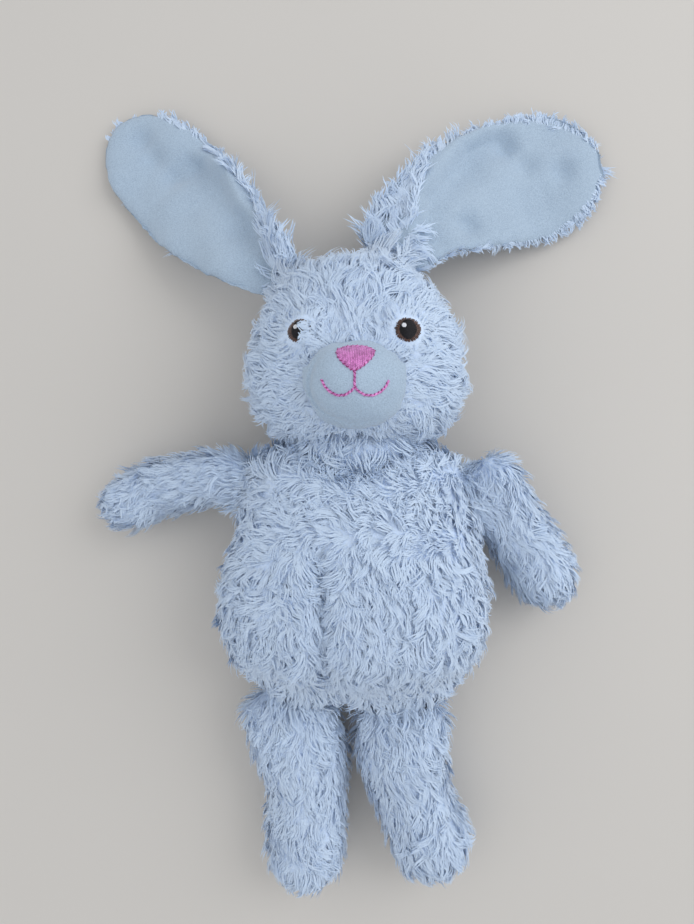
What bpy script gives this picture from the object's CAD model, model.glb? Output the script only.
import math

import bpy
import numpy as np
from mathutils import Matrix, Vector, kdtree
from mathutils.bvhtree import BVHTree


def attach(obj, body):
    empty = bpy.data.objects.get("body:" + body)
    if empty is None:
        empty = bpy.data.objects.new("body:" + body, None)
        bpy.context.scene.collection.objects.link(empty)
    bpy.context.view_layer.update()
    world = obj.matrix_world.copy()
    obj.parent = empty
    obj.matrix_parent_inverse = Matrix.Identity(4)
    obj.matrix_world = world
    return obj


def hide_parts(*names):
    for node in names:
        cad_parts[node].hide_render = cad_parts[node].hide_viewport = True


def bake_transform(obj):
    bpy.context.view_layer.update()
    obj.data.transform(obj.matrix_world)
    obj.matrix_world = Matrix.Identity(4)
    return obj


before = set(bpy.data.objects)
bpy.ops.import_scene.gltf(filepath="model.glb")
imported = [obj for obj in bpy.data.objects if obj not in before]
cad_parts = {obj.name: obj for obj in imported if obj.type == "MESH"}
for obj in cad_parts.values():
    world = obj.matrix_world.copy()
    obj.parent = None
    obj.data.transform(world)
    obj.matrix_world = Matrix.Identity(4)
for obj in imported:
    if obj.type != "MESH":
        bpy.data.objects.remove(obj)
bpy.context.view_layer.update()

mm = 0.001
dice = np.random.default_rng(41)
scene = bpy.context.scene


class Wire:  # one socket of a material, with arithmetic
    def __init__(self, tree, socket=None):
        self.tree, self.socket = tree, socket

    def node(self, kind, settings=None, values=None, out=0):
        made = self.tree.nodes.new("ShaderNode" + kind)
        for name, value in (settings or {}).items():
            if name == "stops":
                ramp = made.color_ramp
                while len(ramp.elements) > 1:
                    ramp.elements.remove(ramp.elements[-1])
                ramp.elements[0].position, ramp.elements[0].color = value[0][0], (*value[0][1], 1)
                for place, colour in value[1:]:
                    ramp.elements.new(place).color = (*colour, 1)
            else:
                setattr(made, name, value)
        for name, value in (values or {}).items():
            if isinstance(value, Wire):
                self.tree.links.new(value.socket, made.inputs[name])
            else:
                made.inputs[name].default_value = value
        return Wire(self.tree, made.outputs[out])

    def maths(self, operation, first, second):
        return self.node("Math", {"operation": operation}, {0: first, 1: second})

    def mix(self, factor, first, second):
        return self.node("Mix", {"data_type": "RGBA"}, {0: factor, 6: first, 7: second}, 2)

    def place(self):
        return self.node("TexCoord", None, None, 3)

    def noise(self, scale, detail, distortion=0):
        return self.node("TexNoise", None,
                         {"Vector": self, "Scale": scale, "Detail": detail, "Distortion": distortion})

    def knit(self, scale):
        return self.node("TexVoronoi", None, {"Vector": self, "Scale": scale})

    def ramp(self, *stops):
        return self.node("ValToRGB", {"stops": stops}, {0: self})

    def __add__(self, other):
        return self.maths("ADD", self, other)

    def __mul__(self, other):
        return self.maths("MULTIPLY", self, other)

    def __rsub__(self, other):
        return self.maths("SUBTRACT", other, self)

    __radd__, __rmul__ = __add__, __mul__


def newMaterial(name, **sockets):
    made = bpy.data.materials.new(name)
    made.use_nodes = True
    shader = made.node_tree.nodes["Principled BSDF"]
    for socket, value in sockets.items():
        shader.inputs[socket.replace("_", " ")].default_value = value
    return made, Wire(made.node_tree), shader


def plug(wire, shader, socket):
    wire.tree.links.new(wire.socket, shader.inputs[socket])


def emboss(height, shader, strength, distance):
    bump = height.node("Bump", None, {"Height": height, "Strength": strength, "Distance": distance})
    plug(bump, shader, "Normal")


furFinish = dict(columns=48, root=(0.65, 0.79, 0.98), tip=(0.62, 0.765, 0.97), rootEnd=0.45, roughness=0.8,
                 sheen=0.25, fibre=(620, 5, 1), light=0.94, byKind=0.04, byFibre=0.05)


def whiteFur():
    # the lock map: one column for each kind of lock, root to tip going up
    made, w, shader = newMaterial("white fur", Roughness=furFinish["roughness"],
                                  Sheen_Weight=furFinish["sheen"], Sheen_Roughness=0.5)
    lockMap = w.node("UVMap", {"uv_map": "OFBake"})
    across, along = (w.node("SeparateXYZ", None, {0: lockMap}, out) for out in (0, 1))
    column = w.maths("FLOOR", across * furFinish["columns"], 0)
    kind = w.node("TexWhiteNoise", {"noise_dimensions": "1D"}, {"W": column})
    strands = w.node("Mapping", None, {"Vector": lockMap, "Scale": furFinish["fibre"]})
    fibre = w.node("TexNoise", {"noise_dimensions": "2D"}, {"Vector": strands, "Scale": 1, "Detail": 2})
    shade = along.ramp((0, furFinish["root"]), (furFinish["rootEnd"], furFinish["tip"]))
    light = furFinish["light"] + furFinish["byKind"] * kind + furFinish["byFibre"] * fibre
    tinted = w.node("VectorMath", {"operation": "SCALE"}, {0: shade, "Scale": light})
    plug(tinted, shader, "Base Color")
    emboss(fibre, shader, 0.35, 0.0004)
    return made


velourFinish = dict(nap=1900, rib=2600, patch=55, patchShare=0.25, napHeight=0.7, ribHeight=0.5)


def velour(name, colour, shadow):
    made, w, shader = newMaterial(name, Roughness=0.9, Sheen_Weight=0.35, Sheen_Roughness=0.4)
    place = w.place()
    nap = place.noise(velourFinish["nap"], 3)
    brushed = place.noise(velourFinish["patch"], 4, 0.8)
    rib = place.knit(velourFinish["rib"])
    patches = brushed.ramp((0.35, (0, 0, 0)), (0.65, (1, 1, 1)))
    speckle = nap.ramp((0.3, shadow), (0.62, colour))
    plug(w.mix(velourFinish["patchShare"] * patches, speckle, (*colour, 1)), shader, "Base Color")
    emboss(nap * velourFinish["napHeight"] + rib * velourFinish["ribHeight"], shader, 0.6, 0.0005)
    return made


threadFinish = dict(ply=2600, patch=420, plyShare=0.55, patchShare=0.45, shiny=0.22, duller=0.3)


def thread(name, colour, dark, sheen=0.2, specular=0.5):
    # satin stitch: lustre along the strand and darker between the fibres
    made, w, shader = newMaterial(name, Roughness=0.45, Sheen_Weight=sheen, Specular_IOR_Level=specular)
    place = w.place()
    ply, patch = place.noise(threadFinish["ply"], 2), place.noise(threadFinish["patch"], 2)
    mixed = ply * threadFinish["plyShare"] + patch * threadFinish["patchShare"]
    plug(mixed.ramp((0.36, dark), (0.62, colour)), shader, "Base Color")
    plug(threadFinish["shiny"] + threadFinish["duller"] * patch, shader, "Roughness")
    emboss(ply, shader, 0.4, 0.0002)
    return made


def fibreFill():
    made, w, shader = newMaterial("fibrefill", Roughness=0.95, Sheen_Weight=0.4)
    strands = w.place().noise(160, 6, 2.5)
    plug(strands.ramp((0.3, (0.62, 0.63, 0.62)), (0.7, (0.86, 0.86, 0.84))), shader, "Base Color")
    emboss(strands, shader, 0.6, 0.002)
    return made


def backing():
    # the knitted cloth that the pile stands on
    made, w, shader = newMaterial("fur backing", Roughness=0.9)
    knit = w.place().knit(900)
    plug(knit.ramp((0, (0.66, 0.79, 0.98)), (0.7, (0.59, 0.73, 0.95))), shader, "Base Color")
    emboss(knit, shader, 0.5, 0.0004)
    return made


finishes = {
    "fur": whiteFur(), "backing": backing(), "fill": fibreFill(),
    "lining": velour("ear velour", (0.43, 0.55, 0.69), (0.31, 0.41, 0.54)),
    "muzzle": velour("muzzle velour", (0.43, 0.555, 0.705), (0.305, 0.41, 0.54)),
    "pink": thread("pink thread", (0.86, 0.32, 0.78), (0.30, 0.04, 0.24), 0.35),
    "rose": thread("rose thread", (0.33, 0.03, 0.20), (0.18, 0.012, 0.10)),
    "brown": thread("brown thread", (0.12, 0.052, 0.036), (0.035, 0.016, 0.012)),
    "black": thread("black thread", (0.012, 0.012, 0.018), (0.004, 0.004, 0.006), 0, 0.25),
    "white": thread("white thread", (0.86, 0.88, 0.92), (0.6, 0.63, 0.7))}
print("finishes made")


def only(piece):
    bpy.ops.object.select_all(action="DESELECT")
    piece.select_set(True)
    bpy.context.view_layer.objects.active = piece


def finishWith(piece, kind, **settings):
    only(piece)
    modifier = piece.modifiers.new(kind.lower(), kind)
    for name, value in settings.items():
        setattr(modifier, name, value)
    bpy.ops.object.modifier_apply(modifier=modifier.name)


def cadCopy(name, nodes):
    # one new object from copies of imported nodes, merged
    bpy.ops.object.select_all(action="DESELECT")
    copies = []
    for node in nodes:
        copied = bpy.data.objects.new(name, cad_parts[node].data.copy())
        copied.data.materials.clear()
        scene.collection.objects.link(copied)
        copied.select_set(True)
        copies.append(copied)
    bpy.context.view_layer.objects.active = copies[0]
    if len(copies) > 1:
        bpy.ops.object.join()
    made = copies[0]
    made.name = made.data.name = name
    bpy.ops.object.mode_set(mode="EDIT")
    bpy.ops.mesh.select_all(action="SELECT")
    bpy.ops.mesh.remove_doubles(threshold=1e-6)
    bpy.ops.object.mode_set(mode="OBJECT")
    return made


def softCopy(name, nodes, voxel, rounds):
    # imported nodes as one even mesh, smoothed
    made = cadCopy(name, nodes)
    finishWith(made, "REMESH", mode="VOXEL", voxel_size=voxel)
    finishWith(made, "SMOOTH", factor=0.5, iterations=rounds)
    return made


def subdivide(piece):
    finishWith(piece, "SUBSURF", levels=1, render_levels=1)


def carry(piece, on):
    # rides on one body, or bends between two from start to end
    if isinstance(on, str):
        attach(piece, on)
    else:
        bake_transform(piece)


def dress(piece, finish, on, replaced):
    only(piece)
    bpy.ops.object.shade_smooth()
    piece.data.materials.append(finishes[finish])
    carry(piece, on)
    if replaced:
        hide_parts(*replaced)


def rowsOf(values, what):
    rows = np.empty(len(values) * 3)
    values.foreach_get(what, rows)
    return rows.reshape(-1, 3)


def placesOf(piece):
    return rowsOf(piece.data.vertices, "co")


def normalsOf(piece):
    return rowsOf(piece.data.vertex_normals, "vector")


def setPlaces(piece, places):
    piece.data.vertices.foreach_set("co", places.ravel())
    piece.data.update()


def plump(piece, pressure, frames, cap):
    # stuffed cloth: blown up for a moment, and no point goes further than the cap
    before = placesOf(piece)
    modifier = piece.modifiers.new("plump", "CLOTH")
    modifier.settings.use_pressure = True
    modifier.settings.uniform_pressure_force = pressure
    modifier.settings.effector_weights.gravity = 0
    modifier.settings.quality = 5
    modifier.point_cache.frame_end = frames
    for step in range(1, frames + 1):
        scene.frame_set(step)
    only(piece)
    bpy.ops.object.modifier_apply(modifier=modifier.name)
    move = placesOf(piece) - before
    far = np.linalg.norm(move, axis=1, keepdims=True)
    setPlaces(piece, before + move * np.minimum(1, cap / np.maximum(far, 1e-9)))
    scene.frame_set(1)


def smoothStep(values, low, high):
    t = np.clip((values - low) / (high - low), 0, 1)
    return t * t * (3 - 2 * t)


def waver(places, size, seed, waves=7):
    # smooth random values from about -1 to 1, with hills about size apart
    own = np.random.default_rng(seed)
    total = np.zeros(len(places))
    for _ in range(waves):
        way = own.normal(size=3)
        way *= 2 * math.pi / size / np.linalg.norm(way) * own.uniform(0.6, 1.4)
        total += np.sin(places @ way + own.uniform(0, 6.28))
    return total / math.sqrt(waves)


def unit(vectors):
    return vectors / np.maximum(np.linalg.norm(vectors, axis=-1, keepdims=True), 1e-12)


def lengths(vectors):
    return np.linalg.norm(vectors, axis=1)


def bvhOf(piece):
    corners = [v.co for v in piece.data.vertices]
    return BVHTree.FromPolygons(corners, [p.vertices[:] for p in piece.data.polygons])


def isBuried(tree, places, normals, room):
    # inside a closed surface, or with less than room above the cloth
    upwards = Vector((0.13, 0.07, 1)).normalized()
    found = np.zeros(len(places), bool)
    for i, (place, normal) in enumerate(zip(places, normals)):
        start, crossed = Vector(place), 0
        if tree.ray_cast(start, Vector(normal), room)[0]:
            found[i] = True
            continue
        hit = tree.ray_cast(start, upwards)[0]
        while hit:
            crossed += 1
            hit = tree.ray_cast(hit + upwards * 1e-5, upwards)[0]
        found[i] = crossed % 2
    return found


faceX, noseX = 2.0, 3.5
eyeSpots = {"left": (23.2, 105.5), "right": (-19.2, 105.5)}
earBases = [(16.4, 147.2, 33), (-34.5, 137.5, 33)]
forms = {  # voxel and inset in mm
    "body": dict(voxel=4.5, inset=4.6), "head": dict(voxel=4.0, inset=4.6),
    "left_arm": dict(voxel=3.4, inset=4.2), "right_arm": dict(voxel=3.4, inset=4.2),
    "left_leg": dict(voxel=3.6, inset=4.2), "right_leg": dict(voxel=3.6, inset=4.2),
    "tail": dict(nodes=["tail"], on="body", voxel=2.6, inset=2.4)}
neighbours = {name: ["body"] for name in forms}
neighbours["body"] = ["head", "left_arm", "right_arm", "left_leg", "right_leg"]
skinLook = dict(inset=(0.12, 0.88), clear=(2.5 * mm, 11 * mm), floor=1.2 * mm)
bodyLook = dict(neck=(34 * mm, 54 * mm), neckFull=0.8, chest=(40 * mm, 52 * mm), chestRise=2 * mm,
                tuck=(-50 * mm, -24 * mm), tuckDepth=6 * mm, upper=(0, 0.4))
headLook = dict(chin=(62 * mm, 80 * mm), chinInset=(0.2, 0.8), eyeReach=(5 * mm, 11 * mm), eyeRise=3.6,
                earReach=(8 * mm, 22 * mm), earRise=4 * mm, faceY=87, face=(23.5, 22), rimDepth=2.6 * mm,
                rimWidth=0.28 * mm)
bellyCrease = dict(x=-11.5, low=-46, high=26, depth=6.0, width=4.5, fadeLow=15, fadeHigh=20, facing=0.3)
seamLook = dict(past=2.0 * mm, near=2 * mm, reach=13 * mm, fade=12 * mm)
seams = {  # middle and half width of each form's seam, mm
    "head": ((0, 60.5, 40), 50), "left_arm": ((61, 48, 27), 16), "right_arm": ((-58, 49, 27), 15),
    "left_leg": ((21, -60, 22), 34), "right_leg": ((-29.5, -60, 22), 34), "tail": ((0, -28, 9), 20)}
bulges = {  # where the stuffing pushes a form out: place, size and push, mm
    "body": [((-60, -8), 28, (-2.5, 0)), ((-50, -43), 12, (-4, -1.5)), ((-38, 56), 14, (0, 4)),
             ((45, 56), 14, (0, 3.5))],
    "head": [((2, 98), 70, (1.2, -0.4))],
    "left_arm": [((92, 10), 30, (3.2, 0.3))], "right_arm": [((-90, 45), 50, (0, 2.2))],
    "left_leg": [((42, -105), 32, (3, 0)), ((42, -55), 12, (3, 3)), ((6, -72), 18, (-2.6, 0))],
    "right_leg": [((-28, -110), 45, (1.2, 0)), ((-50, -53), 14, (-5, 5)), ((-9, -78), 22, (2.4, 0))],
    "tail": []}
swell = dict(pressure=2.5, frames=14, cap=1.2 * mm)


def nodesOf(name):
    return forms[name].get("nodes") or [f"{name}_{p}" for p in ("front_panel", "back_panel", "stuffing")]


def cadTree(name):
    copied = cadCopy("outline", nodesOf(name))
    tree = bvhOf(copied)
    bpy.data.objects.remove(copied)
    return tree


def awayFrom(places, x, y):
    # how far each place is from a spot in mm, seen from above
    return np.hypot(places[:, 0] - x * mm, places[:, 1] - y * mm)


def fitBody(depth, places, normals):
    # full up to the neck, and tucked in above the legs
    depth *= 1 - bodyLook["neckFull"] * smoothStep(places[:, 1], *bodyLook["neck"])
    depth -= bodyLook["chestRise"] * smoothStep(places[:, 1], *bodyLook["chest"]) * (normals[:, 2] > 0)
    tucked = 1 - smoothStep(places[:, 1], *bodyLook["tuck"])
    depth += bodyLook["tuckDepth"] * tucked * smoothStep(normals[:, 2], *bodyLook["upper"])


def fitHead(depth, places, normals):
    # a full chin, raised round the eyes and the ears, and drawn in round the muzzle
    least, more = headLook["chinInset"]
    depth *= least + more * smoothStep(places[:, 1], *headLook["chin"])
    for x, y in eyeSpots.values():
        near = (1 - smoothStep(awayFrom(places, x, y), *headLook["eyeReach"])) * (normals[:, 2] > 0)
        depth -= near * headLook["eyeRise"] * mm
    for base in earBases:
        away = lengths(places - np.array(base) * mm)
        depth -= headLook["earRise"] * (1 - smoothStep(away, *headLook["earReach"]))
    wide, tall = headLook["face"]
    rim = np.hypot((places[:, 0] - faceX * mm) / wide, (places[:, 1] - headLook["faceY"] * mm) / tall)
    ring = np.exp(-((rim - mm) / headLook["rimWidth"]) ** 2)
    depth += headLook["rimDepth"] * ring * (normals[:, 2] > 0)


def foldBelly(skin, places):
    # a soft fold runs down the belly
    x, y = places[:, 0] / mm, places[:, 1] / mm
    low, high = bellyCrease["low"], bellyCrease["high"]
    side = np.exp(-((x - bellyCrease["x"]) / bellyCrease["width"]) ** 2)
    along = (smoothStep(y, low, low + bellyCrease["fadeLow"])
             * (1 - smoothStep(y, high - bellyCrease["fadeHigh"], high)))
    facing = normalsOf(skin)[:, 2] > bellyCrease["facing"]
    places[:, 2] -= side * along * facing * bellyCrease["depth"] * mm


def makeSkin(name, form):
    nodes = nodesOf(name)
    skin = softCopy(name + "_skin", nodes, form["voxel"] * mm, 4)
    places, normals = placesOf(skin), normalsOf(skin)
    gap, beyond, nearest = np.full(len(places), 1.0), places.copy(), [name] * len(places)
    for other in neighbours[name]:
        for i, place in enumerate(places):
            found, _, _, far = cadTrees[other].find_nearest(Vector(place))
            if far < gap[i]:
                gap[i], beyond[i], nearest[i] = far, found, other
    least, more = skinLook["inset"]
    depth = form["inset"] * mm * (least + more * smoothStep(gap, *skinLook["clear"]))
    seam = [seams[other if name == "body" else name] for other in nearest]
    middles, widths = (np.array([s[k] for s in seam], float) * mm for k in (0, 1))
    along = lengths(places - middles) - widths
    near = (gap + seamLook["past"]) * (1 - smoothStep(gap, seamLook["near"], seamLook["reach"]))
    near *= 1 - smoothStep(along, 0, seamLook["fade"])
    towards = unit(beyond - places) * near[:, None]  # the cloth swells over its seams with other forms
    if name == "body":
        fitBody(depth, places, normals)
    if name == "head":
        fitHead(depth, places, normals)
    pushed = places + towards - normals * depth[:, None]
    for spot, size, push in bulges[name]:
        far = awayFrom(places, *spot) / (size * mm)
        pushed[:, :2] += np.exp(-far ** 2)[:, None] * np.array(push) * mm
    setPlaces(skin, pushed)
    finishWith(skin, "SMOOTH", factor=0.5, iterations=3)
    plump(skin, swell["pressure"], swell["frames"], swell["cap"])
    subdivide(skin)
    places = placesOf(skin)
    if name == "body":
        foldBelly(skin, places)
    places[:, 2] = np.maximum(places[:, 2], skinLook["floor"])
    setPlaces(skin, places)
    shown = [n for n in nodes if not n.endswith("stuffing")]
    dress(skin, "backing", form.get("on", name), shown)
    return skin


cadTrees = {name: cadTree(name) for name in forms}
skins = {name: makeSkin(name, form) for name, form in forms.items()}
print("skins made", {n: len(s.data.polygons) for n, s in skins.items()})

fillLook = dict(voxel=5 * mm, lump=1.6 * mm, size=18 * mm)
fillShrink = dict(body=11, head=8, left_arm=5, right_arm=5, left_leg=5, right_leg=5, muzzle=3.5)


def makeFill(name, on):
    node = name + "_stuffing"
    made = softCopy(name + "_fill", [node], fillLook["voxel"], 8)
    places, normals = placesOf(made), normalsOf(made)
    hills = waver(places, fillLook["size"], seed=len(node))
    lumps = fillShrink[name] * mm + fillLook["lump"] * (1 + hills) / 2
    setPlaces(made, places - normals * lumps[:, None])
    subdivide(made)
    dress(made, "fill", on, [node])


for name in fillShrink:
    makeFill(name, "head" if name == "muzzle" else name)
print("stuffing made")

neckLook = dict(voxel=2.2 * mm, scale=(1.55, 1.3, 0.72))  # as wide as the seam, and flatter
neckBend = dict(between=("body", "head"), start=(0, 50 * mm, 40 * mm), end=(0, 71 * mm, 40 * mm))


def makeNeck():
    made = softCopy("neck_skin", ["neck_wad"], neckLook["voxel"], 6)
    plump(made, swell["pressure"], swell["frames"], swell["cap"])
    subdivide(made)
    places = placesOf(made)
    middle = (places.min(0) + places.max(0)) / 2
    setPlaces(made, middle + (places - middle) * neckLook["scale"])
    dress(made, "backing", neckBend, ["neck_wad"])
    return made


neck = makeNeck()

muzzleLook = dict(voxel=1.5 * mm, pressure=2.0, frames=12, cap=1.0 * mm, wider=(1.09, 1.05), sag=4.5 * mm,
                  rise=1.5 * mm, crease=2.0 * mm, creaseWay=(-0.8, -0.6), creaseAt=0.84, creaseWidth=0.05,
                  brow=(2.4 * mm, 2.2 * mm), chin=2.4 * mm, ripple=0.35, rippleSize=16 * mm)


def makeMuzzle():
    made = softCopy("muzzle_velour", ["muzzle_panel", "muzzle_stuffing"], muzzleLook["voxel"], 10)
    plump(made, muzzleLook["pressure"], muzzleLook["frames"], muzzleLook["cap"])
    subdivide(made)
    finishWith(made, "SMOOTH", factor=0.5, iterations=8)
    places, normals = placesOf(made), normalsOf(made)
    middle = (places.min(0) + places.max(0))[:2] / 2
    out = (places[:, :2] - middle) / (np.ptp(places, axis=0)[:2] / 2)
    far = lengths(out)
    low = np.maximum(0, unit(out) @ np.array(muzzleLook["creaseWay"])) * (normals[:, 2] > 0)
    places[:, :2] = middle + (places[:, :2] - middle) * muzzleLook["wider"]
    places[:, 2] += muzzleLook["rise"] - muzzleLook["sag"] * far ** 2
    top = np.maximum(0, out[:, 1]) ** 2  # the fur reaches down over the upper edge
    places[:, 1:] -= top[:, None] * np.array(muzzleLook["brow"])
    places[:, 1] += np.minimum(0, out[:, 1]) ** 2 * muzzleLook["chin"]
    crease = np.exp(-((far - muzzleLook["creaseAt"]) / muzzleLook["creaseWidth"]) ** 2)
    places[:, 2] -= muzzleLook["crease"] * low * crease
    soft = waver(places, muzzleLook["rippleSize"], seed=8) * muzzleLook["ripple"] * mm
    setPlaces(made, places + normals * soft[:, None])
    dress(made, "muzzle", "head", ["muzzle_panel"])
    return made


muzzle = makeMuzzle()
muzzleTree, headTree = bvhOf(muzzle), bvhOf(skins["head"])
print("muzzle made", len(muzzle.data.polygons))


down = Vector((0, 0, -1))
overhead = 0.2  # rays start here, above everything


def under(tree, x, y):
    return tree.ray_cast(Vector((x, y, overhead)), down)[0]


def onTop(tree, x, y, lift):
    return Vector((x, y, under(tree, x, y).z + lift))


def stitches(name, runs, thick, finish, replaced=None):
    # each run of points becomes one strand of thread
    curve = bpy.data.curves.new(name, "CURVE")
    curve.dimensions = "3D"
    curve.bevel_depth = thick / 2
    curve.bevel_resolution = 1
    curve.use_fill_caps = True
    for run in runs:
        spline = curve.splines.new("POLY")
        spline.points.add(len(run) - 1)
        for point, place in zip(spline.points, run):
            point.co = (*place, 1)
    made = bpy.data.objects.new(name, curve)
    scene.collection.objects.link(made)
    only(made)
    bpy.ops.object.convert(target="MESH")
    dress(bpy.context.object, finish, "head", [replaced] if replaced else [])


def slantMark(spot, way, slant, half, lift):
    # one short stitch over a line, leaning along it
    (x, y), (dx, dy), (on, over) = spot, way, slant
    across = (dx * on - dy * over, dy * on + dx * over)
    return [onTop(muzzleTree, (noseX + x + across[0] * s * half) * mm, (y + across[1] * s * half) * mm,
                  lift(s)) for s in (-1, -0.5, 0, 0.5, 1)]


noseLook = dict(outline=[(-6.7, 96.2), (-3.7, 97.5), (0, 97.8), (3.7, 97.5), (6.7, 96.2), (6.9, 95.1),
                         (6.0, 93.0), (3.7, 90.3), (1.1, 88.3), (0, 88.0), (-1.1, 88.3), (-3.7, 90.3),
                         (-6.0, 93.0), (-6.9, 95.1)],
                rows=(-7.4, 7.41), levels=(86, 100, 141), spacing=0.62, points=8, unevenX=0.03, unevenY=0.06,
                thick=0.66 * mm, pad=1.1 * mm, padHalf=8.2, lift=0.1 * mm, edgeSpacing=1.7, edgeLength=1.6,
                edgeThick=0.55 * mm, edgeSlant=(0.75, 0.65), edgeLift=(0.55 * mm, 0.35 * mm), rimSpacing=0.6,
                rimThick=0.95 * mm, rimLift=0.12 * mm)


def reachOf(corners):
    steps = lengths(np.diff(corners, axis=0))
    return np.concatenate([[0], np.cumsum(steps)])


def spotsAt(where, reach, corners):
    return np.stack([np.interp(where, reach, corners[:, k]) for k in (0, 1)], 1)


def ringOf(outline, spacing):
    # points at even spacing round a closed outline, with the way along it
    corners = np.array(outline + outline[:1], float)
    reach = reachOf(corners)
    where = np.linspace(0, reach[-1], int(reach[-1] / spacing), endpoint=False)
    spots = spotsAt(where, reach, corners)
    return spots, unit(np.roll(spots, -1, 0) - np.roll(spots, 1, 0))


def insideOutline(outline, x, y):
    inside = np.zeros(np.shape(x), bool)
    for (x0, y0), (x1, y1) in zip(outline, outline[1:] + outline[:1]):
        crosses = (y0 > y) != (y1 > y)
        inside ^= crosses & (x < (x1 - x0) * (y - y0) / ((y1 - y0) or 1e-9) + x0)
    return inside


def makeNose():
    outline = noseLook["outline"]
    levels = np.linspace(*noseLook["levels"])
    runs = []
    for x in np.arange(*noseLook["rows"], noseLook["spacing"]):
        held = levels[insideOutline(outline, np.full(len(levels), x), levels)]
        if len(held) < 4:
            continue
        run = []
        for part in np.linspace(0, 1, noseLook["points"]):
            y = held[0] + (held[-1] - held[0]) * part + dice.normal(0, noseLook["unevenY"])
            bow = math.sin(math.pi * (0.08 + 0.84 * part))
            arch = noseLook["pad"] * (1 - (x / noseLook["padHalf"]) ** 2) * bow
            across = noseX + x + dice.normal(0, noseLook["unevenX"])
            run.append(onTop(muzzleTree, across * mm, y * mm, arch + noseLook["lift"]))
        runs.append(run)
    stitches("nose_satin", runs, noseLook["thick"], "pink", "nose_fill")
    (high, fall), half = noseLook["edgeLift"], noseLook["edgeLength"] / 2
    edge = [slantMark(spot, way, noseLook["edgeSlant"], half, lambda s: high - fall * abs(s))
            for spot, way in zip(*ringOf(outline, noseLook["edgeSpacing"]))]
    spots, _ = ringOf(outline, noseLook["rimSpacing"])
    rim = [onTop(muzzleTree, (noseX + x) * mm, y * mm, noseLook["rimLift"])
           for x, y in [*spots, spots[0], spots[1]]]
    stitches("nose_edge", edge, noseLook["edgeThick"], "rose", "nose_edge_stitch")
    stitches("nose_rim", [rim], noseLook["rimThick"], "pink")


smileHalf = [(0, 81.6), (1.4, 80.2), (3.6, 78.9), (6.6, 78.8), (9.4, 80.2), (11.4, 82.3), (12.6, 84.8)]
mouthLook = dict(smile=[(-x, y) for x, y in smileHalf[:0:-1]] + smileHalf,
                 philtrum=[(0, 87.4), (0.05, 85.4), (-0.05, 83.4), (0, 81.6)], step=0.4, base=1.0 * mm,
                 baseLift=0.1 * mm, stitch=0.55 * mm, spacing=1.6, length=1.25, slant=(0.8, 0.6),
                 lift=(0.42 * mm, 0.3 * mm))


def makeMouth():
    high, fall = mouthLook["lift"]
    for name in ("smile", "philtrum"):
        corners = np.array(mouthLook[name], float)
        reach = reachOf(corners)
        line = spotsAt(np.arange(0, reach[-1], mouthLook["step"]), reach, corners)
        line[1:-1] = (line[:-2] + line[1:-1] * 2 + line[2:]) / 4
        base = [onTop(muzzleTree, (noseX + x) * mm, y * mm, mouthLook["baseLift"]) for x, y in line]
        stitches(name + "_line", [base], mouthLook["base"], "pink")
        ways = unit(np.gradient(line, axis=0))
        marks = []
        for i in range(1, len(line) - 1, int(mouthLook["spacing"] / mouthLook["step"])):
            half = mouthLook["length"] / 2 * dice.uniform(0.8, 1.1)
            marks.append(slantMark(line[i], ways[i], mouthLook["slant"], half, lambda s: high - fall * s * s))
        stitches(name + "_marks", marks, mouthLook["stitch"], "rose", name + "_stitch")


eyeLook = dict(wide=4.9, tall=4.5, turn=5.2, uneven=1.2, outer=(0.95, 1.06), pupilWide=4.05, pupilTall=3.8,
               pupilShift=(0.1, 0.1), pupilUneven=0.04, shine=(-1.5, 1.5), shineWide=0.85, shineTall=0.8,
               thick=0.42 * mm, ringThick=1.1, shineThick=0.4 * mm, spacing=0.3)


def makeEye(side):
    x0, y0 = eyeSpots[side]
    runs = []
    for turn in np.arange(0, 360, eyeLook["turn"]):  # brown stitches point at the middle
        a = math.radians(turn + dice.normal(0, eyeLook["uneven"]))
        outer = dice.uniform(*eyeLook["outer"])
        runs.append([onTop(headTree, (x0 + math.cos(a) * eyeLook["wide"] * s) * mm,
                           (y0 + math.sin(a) * eyeLook["tall"] * s) * mm, lift * mm)
                     for s, lift in ((0.62, 0.35), (0.75, 0.5), (0.9, 0.45), (outer, 0.05))])
    stitches(side + "_eye_ring", runs, eyeLook["thick"] * eyeLook["ringThick"], "brown", side + "_eye_iris")
    px, py = x0 + eyeLook["pupilShift"][0], y0 + eyeLook["pupilShift"][1]
    runs = []
    for dy in np.arange(-0.97, 0.98, eyeLook["spacing"] / eyeLook["pupilTall"]):
        half = math.sqrt(1 - dy * dy) * eyeLook["pupilWide"]
        runs.append([onTop(headTree, (px + half * s) * mm,
                           (py + dy * eyeLook["pupilTall"] + dice.normal(0, eyeLook["pupilUneven"])) * mm,
                           (0.75 - 0.35 * s * s) * mm) for s in (-1, -0.6, -0.2, 0.2, 0.6, 1)])
    stitches(side + "_eye_dark", runs, eyeLook["thick"], "black", side + "_eye_pupil")
    hx, hy = x0 + eyeLook["shine"][0], y0 + eyeLook["shine"][1]
    runs = [[onTop(headTree, (hx + s * eyeLook["shineWide"] * math.sqrt(1 - dy * dy)) * mm,
                   (hy + dy * eyeLook["shineTall"]) * mm, (1.05 - 0.25 * s * s) * mm)
             for s in (-1, -0.4, 0.4, 1)] for dy in (-0.8, -0.4, 0, 0.4, 0.8)]
    stitches(side + "_eye_shine", runs, eyeLook["shineThick"], "white", side + "_eye_highlight")


makeNose()
makeMouth()
for side in eyeSpots:
    makeEye(side)
print("face stitched")

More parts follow.
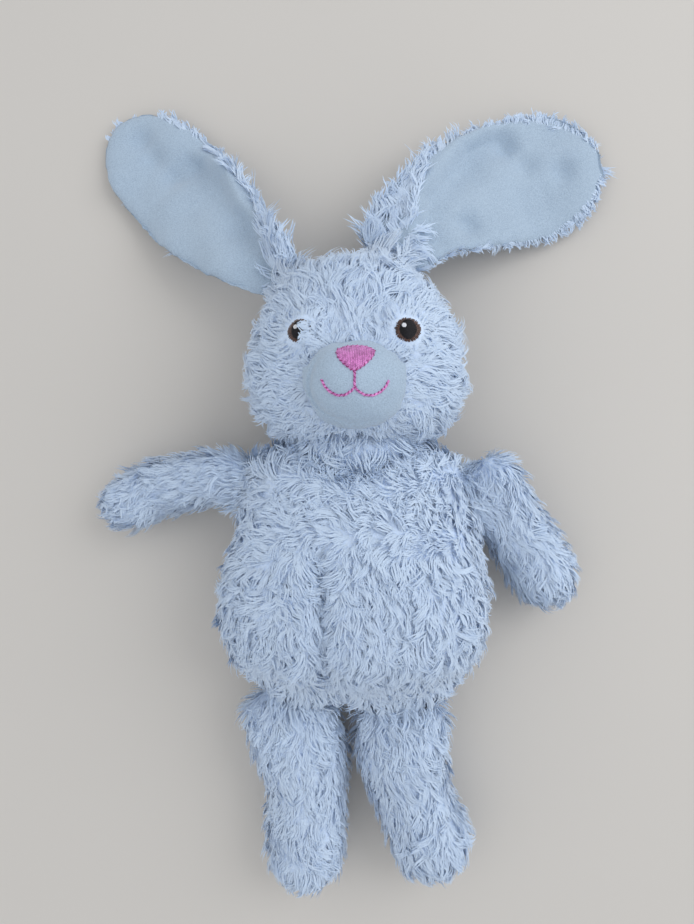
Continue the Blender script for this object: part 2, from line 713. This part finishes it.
earLook = dict(voxel=2.0 * mm, pressure=1.2, frames=12, cap=1.0 * mm, pileRoom=1.2 * mm, upper=(0.2, 0.7),
               dimple=3.8 * mm, dimpleSize=5.6 * mm, ripple=1.2 * mm, rippleSize=30 * mm, valley=5.0 * mm,
               steep=3.6 * mm, gentle=10 * mm, turnOver=0.7, roll=1.4 * mm, rollAt=7 * mm, rollWidth=3 * mm,
               rollSide=(0.1, 0.9), leanFrom=(10 * mm, 45 * mm), broadTo=(10 * mm, 34 * mm), sunk=6 * mm,
               sunkTo=16 * mm, sheet=1.5 * mm, under=(0.94, 0.8, 0.6), drop=2.0 * mm, liningFloor=1.4 * mm,
               backFloor=0.9 * mm, thinned=0.3)
ears = {
    "left_ear": dict(margin=2.5, rim=4.0, lean=(0.8, -1.6), broad=1.3, spread=1.1, stripSide=(-0.8, 0.6),
                     line=[(14, 143.9), (16.4, 147.2), (32, 165), (54, 179), (77, 187.5), (97, 193),
                           (114, 197.5)],
                     valley=[(61, 204), (51.5, 198.7), (41.7, 184.6), (33.8, 172.2), (31.5, 156.7)],
                     dimples=[(68.5, 202.4), (76.7, 193.2), (94.5, 191.3), (49.2, 162.4)],
                     fold=[(2, 137), (28.5, 143), (27.3, 156), (28.4, 170.6), (32, 186), (42, 198.5),
                           (54.5, 210), (70, 214.5), (88, 216), (88, 224), (60, 226), (30, 208), (8, 180),
                           (-6, 152)]),
    "right_ear": dict(margin=3.5, lean=(-1.2, -1.2), broad=1.08, spread=0.5, stripSide=(0.8, 0.6),
                      line=[(-31.6, 134.7), (-34.5, 137.5), (-52, 153), (-72, 173), (-90, 192), (-107, 208),
                            (-120.5, 219.5)],
                      valley=[(-76, 197), (-65.6, 187.8), (-58, 172), (-47, 159), (-42, 150), (-38.5, 139)],
                      dimples=[(-104.7, 212.3), (-98.8, 203.3), (-88.9, 193.3)],
                      fold=[(-37, 129), (-39, 144), (-42.5, 158), (-49.5, 176), (-61, 191), (-74, 207),
                            (-99, 221.5), (-92, 232), (-52, 206), (-28, 172), (-14, 144)])}


def nearestOn(line, spots):
    # the closest point of a line of corners to each spot
    best, away = np.zeros_like(spots), np.full(len(spots), 1e9)
    for start, end in zip(line[:-1], line[1:]):
        step = end - start
        t = np.clip(((spots - start) @ step) / (step @ step), 0, 1)[:, None]
        found = start + step * t
        far = lengths(spots - found)
        best = np.where((far < away)[:, None], found, best)
        away = np.minimum(away, far)
    return best, away


def foldLining(name, places, normals):
    # ripples, hollows, a valley along the fold and the cloth rolled up beside it
    valley = np.array(ears[name]["valley"]) * mm
    up = smoothStep(normals[:, 2], *earLook["upper"])
    places[:, 2] += up * waver(places, earLook["rippleSize"], seed=5) * earLook["ripple"]
    for spot in ears[name]["dimples"]:
        away = lengths(places[:, :2] - np.array(spot) * mm)
        places[:, 2] -= up * earLook["dimple"] * np.exp(-(away / earLook["dimpleSize"]) ** 2)
    found, away = nearestOn(valley, places[:, :2])
    stripwards = unit(places[:, :2] - found) @ np.array(ears[name]["stripSide"])
    turned = smoothStep(stripwards, -earLook["turnOver"], earLook["turnOver"])
    width = earLook["gentle"] + (earLook["steep"] - earLook["gentle"]) * turned
    places[:, 2] -= up * earLook["valley"] * np.exp(-(away / width) ** 2)
    rolled = up * smoothStep(stripwards, *earLook["rollSide"]) * earLook["roll"]
    places[:, 2] += rolled * np.exp(-((away - earLook["rollAt"]) / earLook["rollWidth"]) ** 2)
    places[:, 2] = np.maximum(places[:, 2], earLook["liningFloor"])


def spreadEar(name, line, places):
    # leaning towards the tip, broader at the base and sunk into the head
    far = lengths(places[:, :2] - line[0])
    out = smoothStep(far, *earLook["leanFrom"])
    places[:, :2] += out[:, None] * np.array(ears[name]["lean"]) * mm
    middle, _ = nearestOn(line, places[:, :2])
    wider = (ears[name]["broad"] - 1) * (1 - smoothStep(far, *earLook["broadTo"]))
    places[:, :2] += (places[:, :2] - middle) * wider[:, None]
    sunk = earLook["sunk"] * (1 - smoothStep(far, 0, earLook["sunkTo"]))
    places[:, :2] -= unit(line[1] - line[0]) * sunk[:, None]


def makeEar(name):
    line = np.array(ears[name]["line"]) * mm
    lining = softCopy(name + "_velour", [name + "_lining", name + "_fur_panel"], earLook["voxel"], 9)
    plump(lining, earLook["pressure"], earLook["frames"], earLook["cap"])
    subdivide(lining)
    places, normals = placesOf(lining), normalsOf(lining)
    places[:, 2] += np.where(normals[:, 2] < 0, earLook["pileRoom"], 0)
    foldLining(name, places, normals)
    spreadEar(name, line, places)
    setPlaces(lining, places)
    back = bpy.data.objects.new(name + "_skin", lining.data.copy())
    scene.collection.objects.link(back)
    middle, _ = nearestOn(line, places[:, :2])
    liningTree = bvhOf(lining)
    sheet = places.copy()  # the velour is only the upper sheet of the ear
    for i in np.flatnonzero(normalsOf(lining)[:, 2] < 0):
        above = under(liningTree, *places[i, :2])
        if above:
            sheet[i, 2] = max(sheet[i, 2], above.z - earLook["sheet"])
    setPlaces(lining, sheet)
    for i, (x, y) in enumerate(places[:, :2]):
        for share in earLook["under"]:  # drawn in until it is under the lining
            spot = middle[i] + (np.array([x, y]) - middle[i]) * share
            above = under(liningTree, *spot)
            if above:
                break
        places[i, :2] = spot
        if above:
            places[i, 2] = min(places[i, 2], above.z - earLook["drop"])
    places[:, 2] = np.maximum(places[:, 2], earLook["backFloor"])
    setPlaces(back, places)
    finishWith(back, "DECIMATE", ratio=earLook["thinned"])
    dress(lining, "lining", name, [name + "_lining"])
    dress(back, "backing", name, [name + "_fur_panel"])
    return lining, back


earPieces = {name: makeEar(name) for name in ears}
print("ears made")


ringPlaces = np.array([0, 0.3, 0.56, 0.8, 1.0])
ringWidths = np.array([0.75, 1.0, 0.95, 0.68, 0.0])
tipRing = len(ringPlaces) - 1
lockPoints = 3 * tipRing + 1
lockCorners = []  # faces of one lock: rings of sides, a tip and a root
for ring in range(tipRing - 1):
    for k in range(3):
        lockCorners.append([(ring, k), (ring + 1, k), (ring + 1, k + 1), (ring, k + 1)])
lockCorners += [[(tipRing - 1, k), (tipRing, k + 0.5), (tipRing - 1, k + 1)] for k in range(3)]
lockCorners += [[(0, 0), (0, 1), (0, 2)]]
lockLoops = np.array([3 * r + int(k) % 3 if r < tipRing else 3 * r for face in lockCorners for r, k in face])
lockSizes = np.array([len(face) for face in lockCorners])
lockSpots = np.array([(0.08 + 0.84 * k / 3, 0.01 + 0.98 * ringPlaces[r])
                      for face in lockCorners for r, k in face])
# which ring and which facing each corner takes: left, right, top or underside
lockTurns = np.array([(int(r), 3 if i % 3 == 0 else (2 if r == tipRing else int(k) % 3))
                      for i, face in enumerate(lockCorners) for r, k in face])
lockLook = dict(reach=(0.78, 1.2), rise=(0.55, 1.45), long=(0.8, 1.15), wide=(0.75, 1.25), turn=0.09,
                bend=0.06, bendSize=14 * mm, bendShare=0.3, sunk=0.7, standing=0.9, widest=1.9 * mm,
                floor=0.9 * mm, floorUneven=1.0)


def rootsOn(piece, spacing, keep):
    # scattered roots, one for each spacing square
    mesh = piece.data
    mesh.calc_loop_triangles()
    corners = np.empty(len(mesh.loop_triangles) * 3, int)
    mesh.loop_triangles.foreach_get("vertices", corners)
    corners = corners.reshape(-1, 3)
    places, normals = placesOf(piece), normalsOf(piece)
    a, b, c = (places[corners[:, k]] for k in range(3))
    area = lengths(np.cross(b - a, c - a)) / 2
    count = int(area.sum() / spacing ** 2)
    pick = dice.choice(len(corners), count, p=area / area.sum())
    u, v = dice.random(count), dice.random(count)
    u, v = np.where(u + v > 1, 1 - u, u), np.where(u + v > 1, 1 - v, v)
    weights = np.stack([1 - u - v, u, v], 1)[:, :, None]
    roots = (places[corners[pick]] * weights).sum(1)
    ways = unit((normals[corners[pick]] * weights).sum(1))
    wanted = keep(roots, ways)
    return roots[wanted], ways[wanted]


def growLocks(name, roots, normals, flow, look, on, parts=1, stand=0):
    count = len(roots)
    tufts = max(1, int(count / look["perTuft"]))
    chosen = dice.choice(count, tufts, replace=False)
    finder = kdtree.KDTree(tufts)
    for i, c in enumerate(chosen):
        finder.insert(roots[c], i)
    finder.balance()
    tuft = np.array([finder.find(p)[1] for p in roots])
    centres = roots[chosen]
    wild = look["wild"](centres) if "wild" in look else np.ones(tufts)
    swirl = waver(centres, look["swirlSize"], seed=11) * look["swirl"]
    turn = wild * (swirl + dice.normal(0, look["tousle"], tufts))
    bend = dice.normal(0, look["bend"], tufts)
    bend = bend + lockLook["bendShare"] * waver(centres, lockLook["bendSize"], seed=17) * look["bend"]
    reach = dice.uniform(*lockLook["reach"], tufts)
    rise = look["lift"] * dice.uniform(*lockLook["rise"], tufts)
    shade = dice.integers(0, furFinish["columns"], tufts)
    flow = unit(flow - normals * (flow * normals).sum(1, keepdims=True))
    turned = (turn[tuft] + dice.normal(0, lockLook["turn"], count))[:, None]
    way = flow * np.cos(turned) + np.cross(normals, flow) * np.sin(turned)
    side = np.cross(way, normals)
    size = look["size"](roots) if "size" in look else 1.0
    long = (look["length"] * reach[tuft] * dice.uniform(*lockLook["long"], count) * size)[:, None, None]
    t = ringPlaces[None, :, None]
    sunk = normals[:, None] * lockLook["sunk"] * mm
    path = roots[:, None] - sunk + way[:, None] * long * (t - 0.08 * t ** 2)
    bent = (bend[tuft] + dice.normal(0, lockLook["bend"], count))[:, None, None]
    path += side[:, None] * long * bent * t ** 2
    risen = rise[tuft] * (1 + lockLook["standing"] * stand)
    path += normals[:, None] * long * risen[:, None, None] * (1.6 * t - 0.85 * t ** 2)
    path += (centres[tuft] - roots)[:, None] * look["gather"] * t ** 1.5
    waves = np.sin(2 * math.pi * (1.1 * t + (turn[tuft] + dice.random(count) * 0.3)[:, None, None]))
    path += side[:, None] * waves * t * look["wave"]
    low = lockLook["floor"] + dice.random((count, 1)) * lockLook["floorUneven"] * mm
    path[:, :, 2] = np.maximum(path[:, :, 2], low)
    ahead = np.gradient(path, axis=1)
    across = unit(np.cross(unit(ahead), np.broadcast_to(normals[:, None], path.shape)))
    above = np.cross(across, unit(ahead))
    wide = (look["width"] * dice.uniform(*lockLook["wide"], count))[:, None] * ringWidths[None]
    wide = np.minimum(wide[:, :, None], lockLook["widest"])
    corners = np.stack([path - across * wide / 2, path + across * wide / 2,
                        path + above * wide * look["ridge"]], 2)
    points = np.concatenate([corners[:, :tipRing].reshape(count, 3 * tipRing, 3), path[:, tipRing:]], 1)
    columns = (shade[tuft] + dice.integers(0, 3, count)) % furFinish["columns"]
    order = np.argsort(roots[:, 1], kind="stable")
    # soft shading, as of dense pile: each side leans towards the skin's own facing
    soft = look["soft"]
    sides = unit(np.stack([-across * 0.75 + above * 0.4, across * 0.75 + above * 0.4, above, -above], 2))
    cloth = np.stack([normals, normals, normals, -normals], 1)[:, None]
    facing = unit(sides * (1 - soft) + cloth * soft)[:, lockTurns[:, 0], lockTurns[:, 1]]
    for number, share in enumerate(np.array_split(order, parts)):
        shown = name if parts == 1 else f"{name}_{number + 1}"
        lockMesh(shown, points[share], facing[share], columns[share], on)


def lockMesh(name, points, facing, columns, on):
    count = len(points)
    mesh = bpy.data.meshes.new(name)
    mesh.vertices.add(count * lockPoints)
    mesh.vertices.foreach_set("co", points.ravel())
    loops = (lockLoops[None] + lockPoints * np.arange(count)[:, None]).ravel()
    mesh.loops.add(len(loops))
    mesh.loops.foreach_set("vertex_index", loops)
    sizes = np.tile(lockSizes, count)
    mesh.polygons.add(len(sizes))
    mesh.polygons.foreach_set("loop_start", np.concatenate([[0], np.cumsum(sizes)[:-1]]))
    mesh.polygons.foreach_set("use_smooth", np.ones(len(sizes), bool))
    lockMap = mesh.uv_layers.new(name="OFBake")
    spots = np.broadcast_to(lockSpots[None], (count, *lockSpots.shape)).copy()
    spots[:, :, 0] = (spots[:, :, 0] + columns[:, None]) / furFinish["columns"]
    lockMap.data.foreach_set("uv", spots.ravel())
    mesh.update(calc_edges=True)
    mesh.normals_split_custom_set(facing.reshape(-1, 3))
    made = bpy.data.objects.new(name, mesh)
    scene.collection.objects.link(made)
    mesh.materials.append(finishes["fur"])
    carry(made, on)


trees = {name: bvhOf(skin) for name, skin in skins.items()}
longPile = dict(length=7.6 * mm, width=0.6 * mm, ridge=0.4, lift=0.46, perTuft=9, swirl=0.5,
                swirlSize=24 * mm, tousle=0.26, bend=0.38, gather=0.5, wave=0.7 * mm, soft=0.88)
pileSpacing = dict(front=0.92 * mm, back=1.75 * mm, head=0.88 * mm, neck=1.25 * mm, earBack=1.3 * mm,
                   earFold=1.0 * mm, earRim=0.75 * mm)
pileRoom = dict(skin=2.5 * mm, muzzle=0.2 * mm, ear=1 * mm)
seamPile = dict(reach=(1 * mm, 10 * mm), fringe=0.6, edge=(0.1, 0.5))
frontFacing = -0.4


def onFront(roots, normals):
    return normals[:, 2] > frontFacing


def onBack(roots, normals):
    return ~onFront(roots, normals)


def clearOf(name, extra=None):
    def keep(roots, normals):
        wanted = extra(roots, normals) if extra else np.ones(len(roots), bool)
        for other in neighbours[name]:
            wanted[wanted] = ~isBuried(trees[other], roots[wanted], normals[wanted], pileRoom["skin"])
        return wanted
    return keep


def nearSeam(name, roots):
    # 1 beside another form, where the pile stands up and hides the seam
    away = np.full(len(roots), 1.0)
    for other in neighbours[name]:
        away = np.minimum(away, [trees[other].find_nearest(Vector(p))[3] for p in roots])
    return 1 - smoothStep(away, *seamPile["reach"])


def standing(name, roots, normals):
    # how far the pile stands up: beside seams, and as a fringe along the outline
    fringe = seamPile["fringe"] * (1 - smoothStep(abs(normals[:, 2]), *seamPile["edge"]))
    return np.maximum(nearSeam(name, roots), fringe)


def furOn(name, piece, spacing, keep, flow, look, on, parts=1, stand=None):
    roots, normals = rootsOn(piece, pileSpacing[spacing], keep)
    raised = stand(roots, normals) if stand else 0
    growLocks(name, roots, normals, flow(roots, normals), look, on, parts, raised)


chestFlow = dict(spread=5, down=-0.25, foldPull=0.8, neck=(0.55, 0.85), shoulder=(0.15, 0.55), upSpread=8,
                 upTurn=0.7, aside=3.6)
chestWild = dict(least=0.8, high=(12 * mm, 34 * mm), byHigh=0.9, aside=(10 * mm, 40 * mm), byAside=0.5)


def bodyFlow(roots, normals):
    x, even = roots[:, 0], np.ones(len(roots))
    down = np.stack([x * chestFlow["spread"], -even, even * chestFlow["down"]], 1)
    fold = (x / mm - bellyCrease["x"]) / bellyCrease["width"]
    inFold = np.exp(-fold ** 2 / 2) * (roots[:, 1] < bellyCrease["high"] * mm)
    down[:, 0] -= chestFlow["foldPull"] * fold * inFold
    top = smoothStep(normals[:, 1], *chestFlow["neck"])  # towards the chin, and up off the shoulders
    up = np.stack([x * chestFlow["upSpread"], 1 - chestFlow["upTurn"] * top, top], 1)
    shoulder = smoothStep(normals[:, 1], *chestFlow["shoulder"])[:, None]
    flow = down * (1 - shoulder) + up * shoulder
    aside = (shoulder * (1 - shoulder))[:, 0]  # turns over to one side, with no parting
    flow[:, 0] -= chestFlow["aside"] * aside
    return flow


def furBody():
    def tousled(roots):
        return (chestWild["least"] + chestWild["byHigh"] * smoothStep(roots[:, 1], *chestWild["high"])
                + chestWild["byAside"] * smoothStep(-roots[:, 0], *chestWild["aside"]))

    furOn("body_front_fur", skins["body"], "front", clearOf("body", onFront), bodyFlow,
          dict(longPile, wild=tousled), "body", 3, lambda p, n: standing("body", p, n))
    furOn("body_back_fur", skins["body"], "back", clearOf("body", onBack), bodyFlow, longPile, "body", 1,
          lambda p, n: nearSeam("body", p))


facePile = dict(longPile, swirl=0.25, tousle=0.22, length=7.5 * mm, width=0.58 * mm, lift=0.5, perTuft=11,
                bend=0.4, wave=0.6 * mm, soft=0.8)
faceLook = dict(middle=(faceX, 88, 70), front=45 * mm, least=0.75, more=0.37, muzzleReach=(26 * mm, 40 * mm),
                byEye=(0.72, 0.28), eyeReach=(5 * mm, 13 * mm), bareEye=(5.4, 5.0), parted=1.5,
                partReach=(6 * mm, 14 * mm), earReach=(12 * mm, 24 * mm), byEars=0.45)


def furHead():
    middle = np.array([c * mm for c in faceLook["middle"]])

    def besideEars(roots):
        away = np.min([lengths(roots - np.array(base) * mm) for base in earBases], axis=0)
        return 1 - smoothStep(away, *faceLook["earReach"])

    def shorter(roots):
        away = np.hypot(roots[:, 0] - middle[0], roots[:, 1] - middle[1])
        size = faceLook["least"] + faceLook["more"] * smoothStep(away, *faceLook["muzzleReach"])
        least, more = faceLook["byEye"]
        for x, y in eyeSpots.values():
            size *= least + more * smoothStep(awayFrom(roots, x, y), *faceLook["eyeReach"])
        return np.where(roots[:, 2] > faceLook["front"], size, 1.0) + faceLook["byEars"] * besideEars(roots)

    def bare(roots, normals):
        wanted = ~isBuried(muzzleTree, roots, normals, pileRoom["muzzle"])
        wide, tall = faceLook["bareEye"]
        for x, y in eyeSpots.values():
            spot = np.hypot((roots[:, 0] - x * mm) / wide, (roots[:, 1] - y * mm) / tall) < mm
            wanted &= ~(spot & (normals[:, 2] > 0))
        return wanted

    def parted(roots, normals):
        flow = unit(roots - middle)
        for x, y in eyeSpots.values():
            fromEye = roots - np.array([x * mm, y * mm, 0])
            fromEye[:, 2] = 0
            near = 1 - smoothStep(lengths(fromEye), *faceLook["partReach"])
            near = faceLook["parted"] * near * (roots[:, 2] > faceLook["front"])
            flow = flow + unit(fromEye) * near[:, None]
        return flow

    skin, face = skins["head"], dict(facePile, size=shorter)
    furOn("head_front_fur", skin, "head", clearOf("head", lambda p, n: onFront(p, n) & bare(p, n)), parted,
          face, "head", 3, lambda p, n: np.maximum(standing("head", p, n), besideEars(p)))
    furOn("head_back_fur", skin, "back", clearOf("head", onBack), lambda p, n: p - middle,
          dict(face, swirl=0.5), "head", 1, lambda p, n: nearSeam("head", p))


wisps = dict(count=170, above=1.3 * mm, beside=(1.7, 7.4), along=(-5.5, 3.5), flow=(-1, 0.2, 0))
wispPile = dict(longPile, length=3.2 * mm, width=0.55 * mm, lift=0.3, swirl=0.1, tousle=0.35, bend=0.3,
                perTuft=5, wave=0.2 * mm)


def furOverEye():
    # strands beside the muzzle fall over half of the right eye
    x, y = eyeSpots["right"]
    roots, normals = [], []
    for _ in range(wisps["count"]):
        across, along = x + dice.uniform(*wisps["beside"]), y + dice.uniform(*wisps["along"])
        place, normal, _, _ = headTree.ray_cast(Vector((across * mm, along * mm, overhead)), down)
        roots.append(place + normal * wisps["above"])
        normals.append(normal)
    flow = np.tile(wisps["flow"], (len(roots), 1))
    growLocks("right_eye_wisps_fur", np.array(roots), np.array(normals), flow, wispPile, "head")


limbWays = {"left_arm": (0.45, -0.89, 0), "right_arm": (-0.96, -0.28, 0), "left_leg": (0.25, -0.97, 0),
            "right_leg": (0.03, -1, 0)}
limbPile = dict(longPile, swirl=0.35, tousle=0.2, length=7.8 * mm, width=0.54 * mm, lift=0.4, bend=0.3)


def furLimb(name):
    for part, chooses in (("front", onFront), ("back", onBack)):
        furOn(f"{name}_{part}_fur", skins[name], part, clearOf(name, chooses),
              lambda p, n: np.tile(limbWays[name], (len(p), 1)), limbPile, name, 1,
              lambda p, n: standing(name, p, n))


neckPile = dict(longPile, lift=0.6)
neckFlow = dict(spread=12, ends=0.9)


def furNeck():
    def downwards(roots, normals):
        even = np.ones(len(roots))
        return np.stack([roots[:, 0] * neckFlow["spread"], -even, even * 0], 1)

    furOn("neck_fur", neck, "neck", lambda p, n: abs(n[:, 1]) < neckFlow["ends"], downwards, neckPile,
          neckBend)


tailPile = dict(longPile, length=7 * mm)


def furTail():
    middle = np.array([c * mm for c in seams["tail"][0]])
    furOn("tail_fur", skins["tail"], "back", clearOf("tail"), lambda p, n: p - middle, tailPile, "body")


earPile = dict(longPile, swirl=0.2, tousle=0.16, perTuft=10, lift=0.36)
backPile = dict(earPile, length=6 * mm)
foldPile = dict(earPile, length=9 * mm)
rimPile = dict(earPile, width=0.42 * mm, lift=0.45, soft=0.75)
earFlow = dict(on=0.8, rimOn=0.3, backOut=0.1, rimOut=1, taper=0.5, taperAt=(0.35, 0.8), rim=(1.2, 4.3),
               rimAt=(0.55, 0.95), backFacing=0.1, foldFacing=-0.6, rimFacing=0.1)


def furEar(name):
    lining, back = earPieces[name]
    line = np.array(ears[name]["line"]) * mm
    way = unit(line[-1] - line[0])
    fold = [(x * mm, y * mm) for x, y in ears[name]["fold"]]
    liningTree = bvhOf(lining)

    def outwards(roots, out, on=earFlow["on"]):
        spots, _ = nearestOn(line, roots[:, :2])
        flow = way * on + unit(roots[:, :2] - spots) * out
        return np.concatenate([flow, np.zeros((len(roots), 1))], 1)

    def within(roots, margin):
        # further than the margin from the lining's edge, seen from above
        spots, _ = nearestOn(line, roots[:, :2])
        edges = roots[:, :2] + unit(roots[:, :2] - spots) * margin
        return np.array([under(liningTree, x, y) is not None for x, y in edges])

    def offHead(roots, normals):
        return ~isBuried(trees["head"], roots, normals, pileRoom["ear"])

    def inFold(roots):
        return insideOutline(fold, roots[:, 0], roots[:, 1])

    def tipwards(roots):
        return lengths(roots[:, :2] - line[0]) / np.linalg.norm(line[-1] - line[0])

    def tapered(roots):
        return 1 - earFlow["taper"] * smoothStep(tipwards(roots), *earFlow["taperAt"])

    def atBack(roots, normals):
        chosen = (normals[:, 2] < earFlow["backFacing"]) & within(roots, ears[name]["margin"] * mm)
        return chosen & offHead(roots, normals)

    def atFold(roots, normals):
        return (normals[:, 2] > earFlow["foldFacing"]) & inFold(roots) & offHead(roots, normals)

    def atRim(roots, normals):
        narrow, more = earFlow["rim"]
        width = (narrow + more * smoothStep(tipwards(roots), *earFlow["rimAt"]))[:, None] * mm
        chosen = (normals[:, 2] > earFlow["rimFacing"]) & ~inFold(roots) & ~within(roots, width)
        return chosen & offHead(roots, normals)

    furOn(name + "_back_fur", back, "earBack", atBack, lambda p, n: outwards(p, earFlow["backOut"]), backPile,
          name)
    furOn(name + "_fold_fur", lining, "earFold", atFold, lambda p, n: outwards(p, ears[name]["spread"]),
          dict(foldPile, size=tapered), name)
    if "rim" in ears[name]:
        furOn(name + "_rim_fur", lining, "earRim", atRim,
              lambda p, n: outwards(p, earFlow["rimOut"], earFlow["rimOn"]),
              dict(rimPile, length=ears[name]["rim"] * mm), name)


furBody()
furHead()
furOverEye()
for name in limbWays:
    furLimb(name)
furTail()
furNeck()
for name in ears:
    furEar(name)

stageLook = dict(floor=(0.60, 0.585, 0.565), grain=0.96, aim=(0, 0.03, 0), world=0.74)
lamps = {"window": dict(place=(0.85, 0.45, 0.75), power=5.6, size=0.9),
         "bounce": dict(place=(-0.9, -0.3, 0.9), power=1.5, size=1.4)}


def makeStage():
    bpy.ops.object.select_all(action="DESELECT")
    bpy.ops.mesh.primitive_plane_add(size=8)
    floor = bpy.context.object
    floor.name = "floor"
    made, w, shader = newMaterial("pale floor", Roughness=0.85)
    pale = stageLook["floor"]
    dark = tuple(c * stageLook["grain"] for c in pale)
    plug(w.mix(w.place().noise(6, 3), (*pale, 1), (*dark, 1)), shader, "Base Color")
    floor.data.materials.append(made)
    for name, look in lamps.items():
        lamp = bpy.data.lights.new(name, "AREA")
        lamp.energy, lamp.size = look["power"], look["size"]
        shown = bpy.data.objects.new(name, lamp)
        shown.location = look["place"]
        towards = Vector(stageLook["aim"]) - Vector(look["place"])
        shown.rotation_euler = towards.to_track_quat("-Z", "Y").to_euler()
        scene.collection.objects.link(shown)
    world = bpy.data.worlds.new("soft room")
    scene.world = world
    world.use_nodes = True
    sky = world.node_tree.nodes["Background"]
    sky.inputs["Color"].default_value = (1, 1, 1, 1)
    sky.inputs["Strength"].default_value = stageLook["world"]


cameraLook = dict(place=(0.02148, 0.05402, 0.34892), aim=(-0.00598, 0.05402, 0), focal=718.7, high=924)


def makeCamera():
    lens = bpy.data.cameras.new("phone")
    lens.sensor_fit = "VERTICAL"
    lens.sensor_height = 24
    lens.lens = 24 * cameraLook["focal"] / cameraLook["high"]
    lens.clip_start = 0.01
    camera = bpy.data.objects.new("phone", lens)
    back = (Vector(cameraLook["place"]) - Vector(cameraLook["aim"])).normalized()
    right = Vector((0, 1, 0)).cross(back).normalized()
    up = back.cross(right)
    rows = [(right[k], up[k], back[k], cameraLook["place"][k]) for k in range(3)]
    camera.matrix_world = Matrix([*rows, (0, 0, 0, 1)])
    scene.collection.objects.link(camera)
    scene.camera = camera


makeStage()
makeCamera()
scene.view_settings.view_transform = "Standard"
